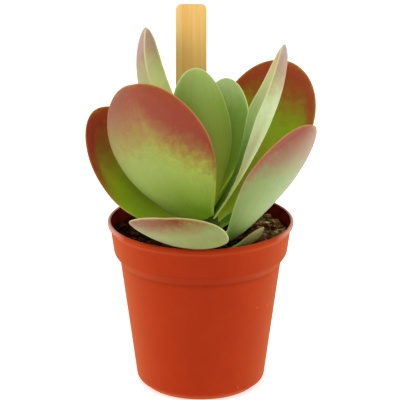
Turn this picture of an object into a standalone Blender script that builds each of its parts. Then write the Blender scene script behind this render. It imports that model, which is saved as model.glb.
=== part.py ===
"""Potted paddle plant: a rosette of broad succulent leaves in a plastic nursery pot.

Lengths are in millimetres and become metres where a mesh is made. +Z is up, the origin is at the
centre of the pot's base on the ground, and the plant is seen from -Y.
"""
import math

import bmesh
import bpy
from mathutils import Matrix, Vector, noise

MM = 0.001
GAP = 0.3                     # clearance kept between pieces that touch

# Pot: a 10.5 cm round nursery pot, turned about Z.
POT_HEIGHT = 97.0
LIP_RADIUS = 52.5
LIP_HEIGHT = 2.6
LIP_FLARE = 1.7                # the band widens to the lip over this height
LIP_WALL = 1.7
BAND_TOP_RADIUS = 50.9
BAND_BOTTOM_RADIUS = 49.0
BAND_HEIGHT = 18.1            # from the rim down to the foot of the upright band
SHOULDER_HEIGHT = 5.2
BODY_TOP_RADIUS = 45.5
BODY_BOTTOM_RADIUS = 36.2
BODY_BOTTOM_Z = 3.9
FOOT_RADIUS = 31.5
FOOT_WIDTH = 2.6
WALL = 1.2
FLOOR_UNDERSIDE_Z = 2.2       # the floor stands clear of the ground between foot and centre pad
FLOOR_TOP_Z = 3.8
INNER_FOOT_RISE = 4.0         # height of the sloped corner between the floor and the inner wall
PAD_RADIUS = 9.0
TURN_STEPS = 48
DRAIN_COUNT = 8
DRAIN_RADIUS = 3.2
DRAIN_RING_RADIUS = 19.0
PLASTIC_COLOR = (0.42, 0.045, 0.012)

# Soil: filled to a little under the rim, uneven on top.
SOIL_Z = 89.0
SOIL_EDGE_DROP = 0.8
SOIL_LUMP = 1.0
SOIL_SECTORS = 44
SOIL_RINGS = 11
SOIL_CLEARANCE = 2 * GAP      # to the wall, whose corners its flat sides cut
COARSE_LUMPS, FINE_LUMPS = 0.11, 0.33
PEAT_COLOR = (0.035, 0.02, 0.012)

# Stem: a short stub, a little off the pot's centre, ringed where leaves have fallen.
STEM_X, STEM_Y = 5.0, -8.0
STEM_FOOT_Z = 62.0
STEM_RADIUS = 7.0
STEM_TOP_RADIUS = 2.2
STEM_NECK_Z = 90.0
STEM_TOP_Z = 111.0
STEM_RING = 0.35
STEM_RINGS = 9
STEM_SECTORS = 24
STEM_COLOR = (0.21, 0.20, 0.09)
ROOT_OFFSET = 1.5             # a leaf's path starts this far from the stem's axis

# Label: a flat wooden stake behind the plant.
LABEL_X, LABEL_Y = -5.3, 18.5
LABEL_WIDTH = 17.3
LABEL_THICKNESS = 1.8
LABEL_TOP_Z = 217.5
LABEL_LENGTH = 180.0
LABEL_POINT = 22.0            # height of the tapered lower end
LABEL_POINT_SHARE = 0.3       # width left at the lower end
LABEL_CORNER = 3.2
WOOD_COLOR = (0.62, 0.42, 0.17)

# Leaves.
LEAF_THICKNESS = 4.2
LEAF_TIP_THICKNESS = 2.6
LEAF_ROOT_THICKNESS = 3.2
LEAF_SECTORS = 20
LEAF_RINGS = 16
LEAF_ROUGHNESS = 0.5
CUP_START = 0.3               # the blade reaches its full cupping at this part of its length
EDGE_FULLNESS = 0.75          # below 1 the blade stays thick until near its margin
LEAF_COLORS = {
    "grey green leaf": (0.20, 0.29, 0.13),
    "deep green leaf": (0.10, 0.21, 0.04),
    "red flushed leaf": (0.33, 0.11, 0.05),
    "pale green leaf": (0.34, 0.42, 0.20),
}
# The rosette from the outermost pair inwards: each leaf's node, its colour and its shape, whose
# values make_leaf explains. Lengths are in millimetres and angles in degrees. leaf_low_right comes
# up through the soil beside the stem.
LEAVES = [
    ("leaf_low_front", "grey green leaf", dict(
        azimuth=-138, root_z=92.9, bend=(-6.6, -54.7, 87.8), tip=(-19.6, -69.8, 121.5),
        faces=(70.7, 89.5), lift=(97.7, 72.2), width=58.4, cup=24.6, widest=0.777, full=2.23,
        wedge=0.752, neck=0.16, tip_cup=0.5)),
    ("leaf_low_back", "deep green leaf", dict(
        azimuth=62, root_z=93.0, bend=(22, 20, 97), tip=(21, 39, 121),
        faces=(248, 233), lift=(60, 30), width=31, cup=23)),
    ("leaf_low_right", "grey green leaf", dict(
        azimuth=-71, offset=25, root_z=88.7, bend=(37.4, -30.2, 97), tip=(32, -16, 95.6),
        faces=(150, 123), lift=(35.5, 39.5), width=12, cup=46, widest=0.49, full=1.78,
        wedge=1.02, neck=0.36, plump=0.6)),
    ("leaf_left_back", "red flushed leaf", dict(
        azimuth=148, root_z=97.5, bend=(-35, 3, 99.5), tip=(-58, 15, 158),
        faces=(-28, -52), width=52.5, cup=27, widest=0.61, full=2.3, wedge=0.75, neck=0.15)),
    ("leaf_right_front", "grey green leaf", dict(
        azimuth=-17, root_z=91.4, bend=(20.2, -34.2, 83), tip=(61.5, -40.3, 164.7),
        faces=(164.7, 123.4), lift=(10.3, -6), width=39.3, cup=49, widest=0.735, full=1.49,
        wedge=1.45, neck=0.14)),
    ("leaf_left_front", "red flushed leaf", dict(
        azimuth=-127, root_z=100.6, bend=(-17.5, -30, 117.8), tip=(-37.5, -32, 185.5),
        faces=(68, 70), width=61, cup=29, widest=0.66, wedge=0.6, neck=0.16)),
    ("leaf_right_back", "red flushed leaf", dict(
        azimuth=47, root_z=99.5, bend=(29, 19, 121.4), tip=(50.7, 32, 180.4),
        faces=(233, 261), width=54.5, cup=21, widest=0.675, full=2.3)),
    ("leaf_left_upright", "pale green leaf", dict(
        azimuth=169, root_z=103.8, bend=(-44.3, -1.6, 164.5), tip=(-30.6, 14.8, 205.2),
        faces=(2, -28.5), lift=(-1.8, 0.5), width=44, cup=71, widest=0.544, full=1.05, neck=0.16,
        plump=0.85)),
    ("leaf_right_upright", "pale green leaf", dict(
        azimuth=6, root_z=100.6, bend=(50.3, -17.9, 171.3), tip=(46.6, 0, 199.3),
        faces=(188, 193.5), lift=(12.6, 1.6), width=31.5, cup=94, widest=0.51, full=1.05,
        wedge=1.8, neck=0.25, plump=0.85)),
    ("leaf_centre_front", "deep green leaf", dict(
        azimuth=-84, root_z=108.6, bend=(3, -16.5, 137), tip=(-3.8, -12.5, 189.3),
        faces=(86, 103), width=34, cup=23, full=2.1)),
    ("leaf_centre_back", "deep green leaf", dict(
        azimuth=92, root_z=108.6, bend=(12, 5, 136.6), tip=(14.8, 9.5, 177.4),
        faces=(-88, -87), width=31, cup=25)),
]
BEDDED_LEAVES = ["leaf_low_right", "leaf_right_front"]     # the soil leaves room for these


def remove_startup_objects():
    for obj in list(bpy.data.objects):
        bpy.data.objects.remove(obj, do_unlink=True)


def material(name, color, roughness):
    """A plain surface with one colour, given as linear red, green and blue."""
    mat = bpy.data.materials.new(name)
    mat.use_nodes = True
    shader = mat.node_tree.nodes["Principled BSDF"]
    shader.inputs["Base Color"].default_value = (*color, 1.0)
    shader.inputs["Roughness"].default_value = roughness
    shader.inputs["Metallic"].default_value = 0.0
    return mat


def new_object(name, bm, collection, mat=None):
    """A mesh object from a bmesh in millimetres."""
    bmesh.ops.scale(bm, vec=(MM, MM, MM), verts=bm.verts)
    bmesh.ops.recalc_face_normals(bm, faces=bm.faces)
    mesh = bpy.data.meshes.new(name)
    bm.to_mesh(mesh)
    bm.free()
    obj = bpy.data.objects.new(name, mesh)
    collection.objects.link(obj)
    if mat is not None:
        mesh.materials.append(mat)
        mesh.shade_smooth()
    else:
        obj.hide_render = True
        obj.display_type = "WIRE"
    return obj


def cut(obj, cutter):
    """Take a cutter's shape out of an object."""
    boolean = obj.modifiers.new("cut by " + cutter.name, "BOOLEAN")
    boolean.operation = "DIFFERENCE"
    boolean.solver = "EXACT"
    boolean.object = cutter


def rounded(corners):
    """A profile from (radius, z, rounding) corners, each rounded one drawn as a short arc."""
    points = []
    for i, (r, z, rounding) in enumerate(corners):
        corner = Vector((r, z))
        if rounding == 0.0:
            points.append(corner)
            continue
        before = (Vector(corners[i - 1][:2]) - corner).normalized()
        after = (Vector(corners[i + 1][:2]) - corner).normalized()
        start, end = corner + before * rounding, corner + after * rounding
        for k in range(3):
            u = k / 2
            points.append(start.lerp(corner, u).lerp(corner.lerp(end, u), u))
    return points


def turned(name, profile, steps, collection, mat):
    """A profile of (radius, z) points turned about Z. It starts and ends on the axis."""
    bm = bmesh.new()
    verts = [bm.verts.new((p[0], 0.0, p[1])) for p in profile]
    for a, b in zip(verts, verts[1:]):
        bm.edges.new((a, b))
    bmesh.ops.scale(bm, vec=(MM, MM, MM), verts=bm.verts)
    mesh = bpy.data.meshes.new(name)
    bm.to_mesh(mesh)
    bm.free()
    obj = bpy.data.objects.new(name, mesh)
    collection.objects.link(obj)
    mesh.materials.append(mat)
    screw = obj.modifiers.new("turned", "SCREW")
    screw.steps = steps
    screw.render_steps = steps
    screw.use_merge_vertices = True
    screw.merge_threshold = 1e-5
    screw.use_smooth_shade = True
    return obj


def inner_wall_radius(z):
    """The pot's inner radius at a height above its floor."""
    band_foot = POT_HEIGHT - BAND_HEIGHT
    shoulder_foot = band_foot - SHOULDER_HEIGHT
    stations = [
        (FLOOR_TOP_Z, FOOT_RADIUS),
        (FLOOR_TOP_Z + INNER_FOOT_RISE, BODY_BOTTOM_RADIUS - WALL),
        (shoulder_foot, BODY_TOP_RADIUS - WALL),
        (band_foot, BAND_BOTTOM_RADIUS - WALL),
        (POT_HEIGHT - LIP_HEIGHT - LIP_FLARE, BAND_TOP_RADIUS - WALL),
    ]
    for (z0, r0), (z1, r1) in zip(stations, stations[1:]):
        if z <= z1:
            return r0 + (r1 - r0) * (z - z0) / (z1 - z0)
    return stations[-1][1]


def make_pot(collection, cutters):
    """The moulded pot: floor, tapering body, shoulder, upright band and small lip."""
    band_foot = POT_HEIGHT - BAND_HEIGHT
    shoulder_foot = band_foot - SHOULDER_HEIGHT
    lip_foot = POT_HEIGHT - LIP_HEIGHT
    foot_inner = FOOT_RADIUS - FOOT_WIDTH
    profile = rounded([
        (0.0, FLOOR_TOP_Z, 0.0),
        (FOOT_RADIUS, FLOOR_TOP_Z, 1.5),
        (BODY_BOTTOM_RADIUS - WALL, FLOOR_TOP_Z + INNER_FOOT_RISE, 1.5),
        (BODY_TOP_RADIUS - WALL, shoulder_foot, 1.0),
        (BAND_BOTTOM_RADIUS - WALL, band_foot, 1.0),
        (BAND_TOP_RADIUS - WALL, lip_foot - LIP_FLARE, 0.8),
        (LIP_RADIUS - LIP_WALL, lip_foot, 0.8),
        (LIP_RADIUS - LIP_WALL, POT_HEIGHT, 0.5),
        (LIP_RADIUS, POT_HEIGHT, 0.9),
        (LIP_RADIUS, lip_foot, 0.8),
        (BAND_TOP_RADIUS, lip_foot - LIP_FLARE, 0.8),
        (BAND_BOTTOM_RADIUS, band_foot, 1.2),
        (BODY_TOP_RADIUS, shoulder_foot, 1.0),
        (BODY_BOTTOM_RADIUS, BODY_BOTTOM_Z, 1.6),
        (FOOT_RADIUS, 0.0, 1.0),
        (foot_inner, 0.0, 0.0),
        (foot_inner - 0.8, FLOOR_UNDERSIDE_Z, 0.0),
        (PAD_RADIUS, FLOOR_UNDERSIDE_Z, 0.0),
        (PAD_RADIUS - 0.6, 0.0, 0.0),
        (0.0, 0.0, 0.0),
    ])
    plastic = material("terracotta plastic", PLASTIC_COLOR, 0.42)
    pot = turned("pot", profile, TURN_STEPS, collection, plastic)
    for k in range(DRAIN_COUNT):
        angle = 2 * math.pi * (k + 0.5) / DRAIN_COUNT
        bm = bmesh.new()
        bmesh.ops.create_cone(
            bm, cap_ends=True, segments=12, radius1=DRAIN_RADIUS, radius2=DRAIN_RADIUS,
            depth=6.0,
            matrix=Matrix.Translation((
                DRAIN_RING_RADIUS * math.cos(angle),
                DRAIN_RING_RADIUS * math.sin(angle),
                (FLOOR_UNDERSIDE_Z + FLOOR_TOP_Z) / 2,
            )),
        )
        cut(pot, new_object(f"drain_hole_{k + 1}", bm, cutters))
    return pot


def soil_height(x, y, r, edge):
    """The height of the soil's crumbled top at a place in plan."""
    coarse = noise.noise(Vector((x, y, 0.0)) * COARSE_LUMPS)
    fine = noise.noise(Vector((x, y, 25.0)) * FINE_LUMPS)
    drop = SOIL_EDGE_DROP * (r / edge) ** 6
    return SOIL_Z + SOIL_LUMP * (coarse + 0.6 * fine) - drop


def make_soil(collection):
    """The potting mix: it follows the pot's inner wall and has an uneven top."""
    band_foot = POT_HEIGHT - BAND_HEIGHT
    side_heights = [
        SOIL_Z - SOIL_EDGE_DROP,
        band_foot - GAP,
        band_foot - SHOULDER_HEIGHT + GAP,
        (band_foot - SHOULDER_HEIGHT) / 2,
        FLOOR_TOP_Z + INNER_FOOT_RISE + 1.0,
        FLOOR_TOP_Z + INNER_FOOT_RISE / 2,
    ]
    edge = inner_wall_radius(side_heights[0]) - SOIL_CLEARANCE
    profile = [(edge * k / SOIL_RINGS, SOIL_Z) for k in range(SOIL_RINGS)]
    profile += [(inner_wall_radius(z) - SOIL_CLEARANCE, z) for z in side_heights]
    profile += [(FOOT_RADIUS - 4.0, FLOOR_TOP_Z + GAP), (0.0, FLOOR_TOP_Z + GAP)]
    bm = bmesh.new()
    verts = [bm.verts.new((r, 0.0, z)) for r, z in profile]
    edges = [bm.edges.new(pair) for pair in zip(verts, verts[1:])]
    bmesh.ops.spin(
        bm, geom=verts + edges, axis=(0, 0, 1), cent=(0, 0, 0), steps=SOIL_SECTORS,
        angle=2 * math.pi, use_merge=True,
    )
    bmesh.ops.remove_doubles(bm, verts=bm.verts, dist=0.01)
    for v in bm.verts:
        if v.co.z > SOIL_Z - SOIL_EDGE_DROP - 0.01:
            r = math.hypot(v.co.x, v.co.y)
            v.co.z = soil_height(v.co.x, v.co.y, r, edge)
    peat = material("potting mix", PEAT_COLOR, 0.95)
    return new_object("soil", bm, collection, peat)


def stem_bmesh(grow):
    """The stem, or the room that it needs when it is grown a little all round."""
    profile = [(0.0, STEM_TOP_Z + grow), (STEM_TOP_RADIUS + grow, STEM_TOP_Z + grow)]
    for k in range(1, STEM_RINGS + 1):
        u = k / STEM_RINGS
        ring = STEM_RING if k % 2 else 0.0
        r = STEM_TOP_RADIUS + (STEM_RADIUS - STEM_TOP_RADIUS) * u
        profile.append((r + ring + grow, STEM_TOP_Z + (STEM_NECK_Z - STEM_TOP_Z) * u))
    profile += [
        (STEM_RADIUS + grow, STEM_FOOT_Z - grow),
        (0.0, STEM_FOOT_Z - grow),
    ]
    bm = bmesh.new()
    verts = [bm.verts.new((r, 0.0, z)) for r, z in profile]
    edges = [bm.edges.new(pair) for pair in zip(verts, verts[1:])]
    bmesh.ops.spin(
        bm, geom=verts + edges, axis=(0, 0, 1), cent=(0, 0, 0), steps=STEM_SECTORS,
        angle=2 * math.pi, use_merge=True,
    )
    bmesh.ops.remove_doubles(bm, verts=bm.verts, dist=0.001)
    bmesh.ops.translate(bm, vec=(STEM_X, STEM_Y, 0.0), verts=bm.verts)
    return bm


def label_bmesh(grow):
    """The label: round-cornered above and tapered to a blunt point below."""
    half_width = LABEL_WIDTH / 2 + grow
    half_thickness = LABEL_THICKNESS / 2 + grow
    top = LABEL_TOP_Z
    foot = LABEL_TOP_Z - LABEL_LENGTH - grow
    bm = bmesh.new()
    bmesh.ops.create_cube(bm, size=1.0)
    for v in bm.verts:
        v.co.x *= 2 * half_width
        v.co.y *= 2 * half_thickness
        v.co.z = top if v.co.z > 0 else foot + LABEL_POINT
    lower = [f for f in bm.faces if all(v.co.z < top for v in f.verts)]
    point = bmesh.ops.extrude_discrete_faces(bm, faces=lower)["faces"]
    for f in point:
        for v in f.verts:
            v.co.z = foot
            v.co.x *= LABEL_POINT_SHARE
    bmesh.ops.remove_doubles(bm, verts=bm.verts, dist=0.001)
    corners = [
        e for e in bm.edges
        if all(v.co.z > top - 0.01 for v in e.verts)
        and abs(e.verts[0].co.x - e.verts[1].co.x) < 0.01
    ]
    bmesh.ops.bevel(bm, geom=corners, offset=LABEL_CORNER, segments=4, profile=0.5, affect="EDGES")
    bmesh.ops.translate(bm, vec=(LABEL_X, LABEL_Y, 0.0), verts=bm.verts)
    return bm


def smoothstep(u):
    u = min(max(u, 0.0), 1.0)
    return u * u * (3 - 2 * u)


def half_width(leaf, s):
    """Half the blade's width at s along it: a narrow root, a wedge, then a round end."""
    widest = leaf["widest"]
    if s < widest:
        share = leaf["neck"] + (1 - leaf["neck"]) * smoothstep(s / widest) ** leaf["wedge"]
    else:
        share = math.sqrt(max(0.0, 1 - ((s - widest) / (1 - widest)) ** leaf["full"]))
    return leaf["width"] / 2 * share + leaf["grow"]


def half_thickness(leaf, s):
    """Half the blade's thickness in its middle: slender at the root, thinner to the tip."""
    body = LEAF_THICKNESS + (LEAF_TIP_THICKNESS - LEAF_THICKNESS) * s
    root = LEAF_ROOT_THICKNESS + (body - LEAF_ROOT_THICKNESS) * smoothstep(s / 0.25)
    return (leaf["plump"] * root / 2 + leaf["grow"]) * math.sqrt(max(0.0, 1 - s ** 14))


def blade_frame(leaf, s):
    """The midrib's point at s with the directions across and out of the upper face."""
    start, bend, tip = leaf["start"], leaf["bend"], leaf["tip"]
    point = start * (1 - s) ** 2 + bend * (2 * s * (1 - s)) + tip * s ** 2
    along = ((bend - start) * (1 - s) + (tip - bend) * s).normalized()
    turn = math.radians(leaf["faces"][0] + (leaf["faces"][1] - leaf["faces"][0]) * s)
    lift = math.radians(leaf["lift"][0] + (leaf["lift"][1] - leaf["lift"][0]) * s)
    normal = Vector((
        math.cos(turn) * math.cos(lift), math.sin(turn) * math.cos(lift), math.sin(lift),
    ))
    normal = (normal - along * normal.dot(along)).normalized()
    return point, along.cross(normal), normal


def blade_point(leaf, s, across, rise):
    """A point of the leaf's skin. across runs from -1 to 1, rise from -1 (under) to 1 (upper)."""
    point, side, normal = blade_frame(leaf, s)
    cup = math.radians(leaf["cup"]) * min(max(s / CUP_START, 0.3), 1.0)
    cup *= 1 - (1 - leaf["tip_cup"]) * s ** 4
    radius = half_width(leaf, s) / cup
    angle = cup * across
    out = side * math.sin(angle) - normal * math.cos(angle)
    inward = normal * math.cos(angle) - side * math.sin(angle)
    return point + normal * radius + out * radius + inward * (rise * half_thickness(leaf, s))


def make_leaf(name, collection, mat, azimuth, root_z, bend, tip, faces, width, cup,
              offset=ROOT_OFFSET, widest=0.62, full=2.0, wedge=0.8, neck=0.2, lift=(0, 0),
              plump=1.0, tip_cup=1.0, grow=0.0):
    """One leaf: a round ball drawn out along its curved midrib.

    azimuth, offset and root_z say where it starts, seen from the stem's axis. bend steers its
    curve and tip is its end. faces and lift give the compass and upward directions of its upper
    face, at root and tip. width is its greatest, at the share widest of its length. neck is the
    root's share of that, wedge shapes the flare above the root and full the round end. cup bends
    each half of the blade by that angle, of which the share tip_cup is left at the tip. plump
    thickens the blade, and grow adds room all round.
    """
    turn = math.radians(azimuth)
    start = Vector((STEM_X + offset * math.cos(turn), STEM_Y + offset * math.sin(turn), root_z))
    leaf = {
        "start": start - (Vector(bend) - start).normalized() * grow,
        "bend": Vector(bend), "tip": Vector(tip), "faces": faces, "lift": lift,
        "width": width, "cup": cup, "widest": widest, "full": full, "wedge": wedge, "neck": neck,
        "plump": plump, "tip_cup": tip_cup, "grow": grow,
    }
    bm = bmesh.new()
    bmesh.ops.create_uvsphere(bm, u_segments=LEAF_SECTORS, v_segments=LEAF_RINGS, radius=1.0)
    for v in bm.verts:
        s = min(max((1 + v.co.z) / 2, 0.0), 1.0)
        ring = math.hypot(v.co.x, v.co.y)
        across = v.co.x / ring if ring > 1e-4 else 0.0
        rise = v.co.y / ring if ring > 1e-4 else 0.0
        fullness = math.copysign(abs(rise) ** EDGE_FULLNESS, rise)
        v.co = blade_point(leaf, s, across, fullness)
    return new_object(name, bm, collection, mat)


def make_leaves(collection):
    """The whole rosette, each leaf in the colour that it mostly has."""
    colors = {name: material(name, color, LEAF_ROUGHNESS) for name, color in LEAF_COLORS.items()}
    return [make_leaf(name, collection, colors[color], **shape) for name, color, shape in LEAVES]


def make_leaf_rooms(collection):
    """The room in the soil for the leaves that are bedded in it."""
    return [
        make_leaf(name + "_room", collection, None, **shape, grow=GAP)
        for name, _, shape in LEAVES if name in BEDDED_LEAVES
    ]


def build():
    remove_startup_objects()
    collection = bpy.data.collections.new("potted paddle plant")
    cutters = bpy.data.collections.new("cutters")
    bpy.context.scene.collection.children.link(collection)
    bpy.context.scene.collection.children.link(cutters)

    make_pot(collection, cutters)
    soil = make_soil(collection)

    stem_skin = material("stem skin", STEM_COLOR, 0.7)
    new_object("stem", stem_bmesh(0.0), collection, stem_skin)
    stem_room = new_object("stem_room", stem_bmesh(GAP), cutters)
    cut(soil, stem_room)

    wood = material("label wood", WOOD_COLOR, 0.6)
    label = new_object("label_stake", label_bmesh(0.0), collection, wood)
    label.data.set_sharp_from_angle(angle=math.radians(35))
    cut(soil, new_object("label_room", label_bmesh(GAP), cutters))
    for room in make_leaf_rooms(cutters):
        cut(soil, room)

    for leaf in make_leaves(collection):
        cut(leaf, stem_room)


build()
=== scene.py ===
# %% [markdown]
# # A potted paddle plant
# This lesson gives a finished solid model its looks. The solids already have the right sizes and
# places, so the work here is what the eye enjoys: the flush of red on thick waxy leaves, moulded
# plastic, crumbly peat and a planed wooden label. Lengths are written in millimetres, and MM turns
# them into Blender's metres.

# %% Load the solids and measure them
import math
import random

import bmesh
import bpy
from mathutils import Matrix, Vector, kdtree, noise
from mathutils.bvhtree import BVHTree


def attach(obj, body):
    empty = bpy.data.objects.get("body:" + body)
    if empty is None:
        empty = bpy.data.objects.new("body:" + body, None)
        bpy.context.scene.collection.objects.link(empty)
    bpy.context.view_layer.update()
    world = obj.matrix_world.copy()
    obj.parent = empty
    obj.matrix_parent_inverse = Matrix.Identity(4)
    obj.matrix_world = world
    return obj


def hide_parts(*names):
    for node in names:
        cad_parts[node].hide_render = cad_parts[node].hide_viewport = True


MM = 0.001
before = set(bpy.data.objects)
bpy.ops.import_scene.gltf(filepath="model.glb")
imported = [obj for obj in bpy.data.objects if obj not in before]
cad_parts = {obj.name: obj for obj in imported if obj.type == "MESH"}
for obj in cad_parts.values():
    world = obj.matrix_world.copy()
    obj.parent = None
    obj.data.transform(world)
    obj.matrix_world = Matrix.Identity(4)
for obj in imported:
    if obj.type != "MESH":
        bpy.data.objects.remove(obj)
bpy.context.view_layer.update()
print("solids:", sorted(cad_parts))

# %% [markdown]
# Blender's shaders work in linear light, and people choose colours as sRGB hex codes. One function
# turns the one into the other, so that every colour below can be picked in a colour chooser.

# %% A colour from its hex code
def paint(code):
    shares = [int(code[i:i + 2], 16) / 255 for i in (1, 3, 5)]
    light = [v / 12.92 if v <= 0.04045 else ((v + 0.055) / 1.055) ** 2.4 for v in shares]
    return (*light, 1.0)


# %% [markdown]
# Materials are trees of nodes. One small function adds any node: its own options come by name,
# and its sockets are fed from a dictionary, each with a value, with another node or with one output
# of it. A colour ramp also takes its stops.

# %% Add a node, and start a material
def feed(socket, value):
    """A node that is given whole feeds the socket with its first output in use."""
    if isinstance(value, bpy.types.Node):
        value = next(output for output in value.outputs if output.enabled)
    if isinstance(value, bpy.types.NodeSocket):
        socket.id_data.links.new(value, socket)
    else:
        socket.default_value = value


def add(tree, kind, sockets=None, stops=(), **options):
    node = tree.nodes.new("ShaderNode" + kind)
    for name, value in options.items():
        setattr(node, name, value)
    for name, value in (sockets or {}).items():
        feed(node.inputs[name], value)
    for i, (place, code) in enumerate(stops):
        ramp = node.color_ramp.elements
        stop = ramp[i] if i < 2 else ramp.new(place)
        stop.position, stop.color = place, paint(code)
    return node


def new_material(name, **shader_values):
    """A Principled material. The values that are the same all over go on the shader itself."""
    material = bpy.data.materials.new(name)
    material.use_nodes = True
    shader = material.node_tree.nodes["Principled BSDF"]
    for socket, value in shader_values.items():
        feed(shader.inputs[socket.replace("_", " ")], value)
    print("material:", name)
    return material, material.node_tree, shader


# %% [markdown]
# Operators act on whatever is selected, so each step starts with clean hands: nothing selected but
# the piece in work. Before a piece is handed over, its place is applied to its mesh, which leaves
# the object itself at the origin, unturned and unscaled.

# %% Pick a piece up, and hand it over
def pick(obj):
    if bpy.context.mode != "OBJECT":
        bpy.ops.object.mode_set(mode="OBJECT")
    bpy.ops.object.select_all(action="DESELECT")
    obj.select_set(True)
    bpy.context.view_layer.objects.active = obj


def apply_modifiers(obj):
    pick(obj)
    for modifier in list(obj.modifiers):
        bpy.ops.object.modifier_apply(modifier=modifier.name)


def hand_over(obj, material, slot, stands_for=None):
    """Place applied, material given, riding on the pot's body, and its solid hidden."""
    pick(obj)
    bpy.ops.object.transform_apply(location=True, rotation=True, scale=True)
    obj.data.materials.clear()
    obj.data.materials.append(material)
    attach(obj, "root")
    if stands_for:
        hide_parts(stands_for)
    print(f"{obj.name}: {len(obj.data.polygons)} faces in {slot}")


# %% [markdown]
# ## The studio
# The photo was taken with a long lens from a little above, which keeps the pot's sides nearly
# parallel. The pot's two ellipses give the angle: 18.5 degrees down.

# %% Camera
CAMERA_DISTANCE = 1600 * MM
CAMERA_ELEVATION = math.radians(18.5)
CAMERA_TARGET = Vector((-0.35, 0.0, 108.5)) * MM
LENS_MM = 255.4

bpy.ops.object.camera_add(
    location=CAMERA_TARGET + CAMERA_DISTANCE * Vector((
        0.0, -math.cos(CAMERA_ELEVATION), math.sin(CAMERA_ELEVATION))),
    rotation=(math.pi / 2 - CAMERA_ELEVATION, 0.0, 0.0),
)
camera = bpy.context.object
camera.data.lens = LENS_MM
bpy.context.scene.camera = camera
print("camera:", round(math.degrees(CAMERA_ELEVATION), 1), "degrees down,", LENS_MM, "mm lens")

# %% [markdown]
# A pale seamless floor stands in for the white photo table. The pot is brighter towards both its
# edges than in its middle, which a light tent does: its two side walls glow, and its front, with
# the hole for the lens, stays darker. Two soft boxes at the sides and one overhead, a little in
# front, then model the leaves.

# %% Floor
FLOOR_SIZE, FLOOR_Z = 8000.0, -0.1       # a hair below the pot, so that the two stay apart
FLOOR_GLOW = 0.55

bpy.ops.mesh.primitive_plane_add(size=FLOOR_SIZE * MM, location=(0.0, 0.0, FLOOR_Z * MM))
floor = bpy.context.object
floor.name = "floor"
floor_paper, _, _ = new_material(
    "white seamless paper", Base_Color=paint("#F7F7F6"), Roughness=0.9,
    Emission_Color=paint("#FFFFFF"), Emission_Strength=FLOOR_GLOW)
floor.data.materials.append(floor_paper)
floor.visible_glossy = False          # it lights the pot from below, and leaves no glare on it

# %% Light tent
TENT_FRONT, TENT_SIDES = 0.3, 1.2

world = bpy.data.worlds.new("light tent")
world.use_nodes = True
tree = world.node_tree
way = add(tree, "SeparateXYZ", {0: add(tree, "TexCoord").outputs["Generated"]})
sideways = add(tree, "Math", {0: way.outputs["X"], 1: 2.0}, operation="POWER")
glow = add(tree, "MapRange", {"Value": sideways, "To Min": TENT_FRONT, "To Max": TENT_SIDES})
feed(tree.nodes["Background"].inputs["Strength"], glow)
feed(tree.nodes["Background"].inputs["Color"], paint("#FFFFFF"))
bpy.context.scene.world = world
bpy.context.scene.view_settings.view_transform = "Standard"    # paper white stays white
print("light tent:", TENT_FRONT, "in front,", TENT_SIDES, "at the sides")

# %% Soft boxes
SOFT_BOXES = {                # places and sizes in metres
    "left soft box": dict(place=(-1.0, -0.2, 0.45), size=0.7, watts=3.5),
    "right soft box": dict(place=(1.0, -0.1, 0.4), size=0.6, watts=3.0),
    "overhead soft box": dict(place=(-0.1, -0.45, 1.1), size=0.8, watts=3.5),
}
for name, box in SOFT_BOXES.items():
    place = Vector(box["place"])
    aim = (CAMERA_TARGET - place).to_track_quat("-Z", "Y").to_euler()
    bpy.ops.object.light_add(type="AREA", location=place, rotation=aim)
    light = bpy.context.object
    light.name = name
    light.data.size = box["size"]
    light.data.energy = box["watts"]
print("soft boxes:", list(SOFT_BOXES))

# %% [markdown]
# ## The pot
# A nursery pot is injection moulded in polypropylene: one thin wall all over, a rolled lip, an
# upright band to grip, a shoulder where stacked pots stop, and a tapering body. All of it is round,
# so it is drawn as a potter would throw it. A ring of points is extruded and widened or narrowed,
# level by level, from the foot up the outside, over the lip and down the inside, and then the
# corners are bevelled.

# %% Select a ring of edges
def select_ring(body, radius, z, slack=0.02):
    """In edit mode, select the edges of the ring at that radius and height."""
    bpy.ops.mesh.select_all(action="DESELECT")
    mesh = bmesh.from_edit_mesh(body.data)
    for edge in mesh.edges:
        edge.select = all(
            abs(math.hypot(v.co.x, v.co.y) / MM - radius) < slack and abs(v.co.z / MM - z) < slack
            for v in edge.verts)
    bmesh.update_edit_mesh(body.data)


# %% Throw a round body ring by ring
def throw(name, profile, sides, centre=(0.0, 0.0)):
    """profile is a list of (radius, height, corner rounding), all in millimetres."""
    first_radius, first_z, _ = profile[0]
    bpy.ops.object.select_all(action="DESELECT")
    bpy.ops.mesh.primitive_circle_add(
        vertices=sides, radius=first_radius * MM, fill_type="NGON",
        location=(0.0, 0.0, first_z * MM))
    body = bpy.context.object
    body.name = body.data.name = name
    bpy.ops.object.transform_apply(location=True)
    bpy.ops.object.mode_set(mode="EDIT")
    bpy.ops.mesh.select_mode(type="EDGE")
    bpy.ops.mesh.select_all(action="SELECT")
    bpy.ops.mesh.region_to_loop()
    for (r0, z0, _), (r1, z1, _) in zip(profile, profile[1:]):
        bpy.ops.mesh.extrude_edges_move(
            TRANSFORM_OT_translate={"value": (0.0, 0.0, (z1 - z0) * MM)})
        bpy.ops.transform.resize(value=(r1 / r0, r1 / r0, 1.0), center_override=(0, 0, 0))
    bpy.ops.mesh.edge_face_add()
    for radius, z, rounding in profile:
        if rounding:
            select_ring(body, radius, z)
            bpy.ops.mesh.bevel(
                offset=rounding * MM, segments=4, profile=0.5, affect="EDGES")
    bpy.ops.mesh.select_all(action="SELECT")
    bpy.ops.mesh.normals_make_consistent(inside=False)
    bpy.ops.object.mode_set(mode="OBJECT")
    body.location = (centre[0] * MM, centre[1] * MM, 0.0)
    bpy.ops.object.transform_apply(location=True)
    bpy.ops.object.shade_smooth()
    return body


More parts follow.
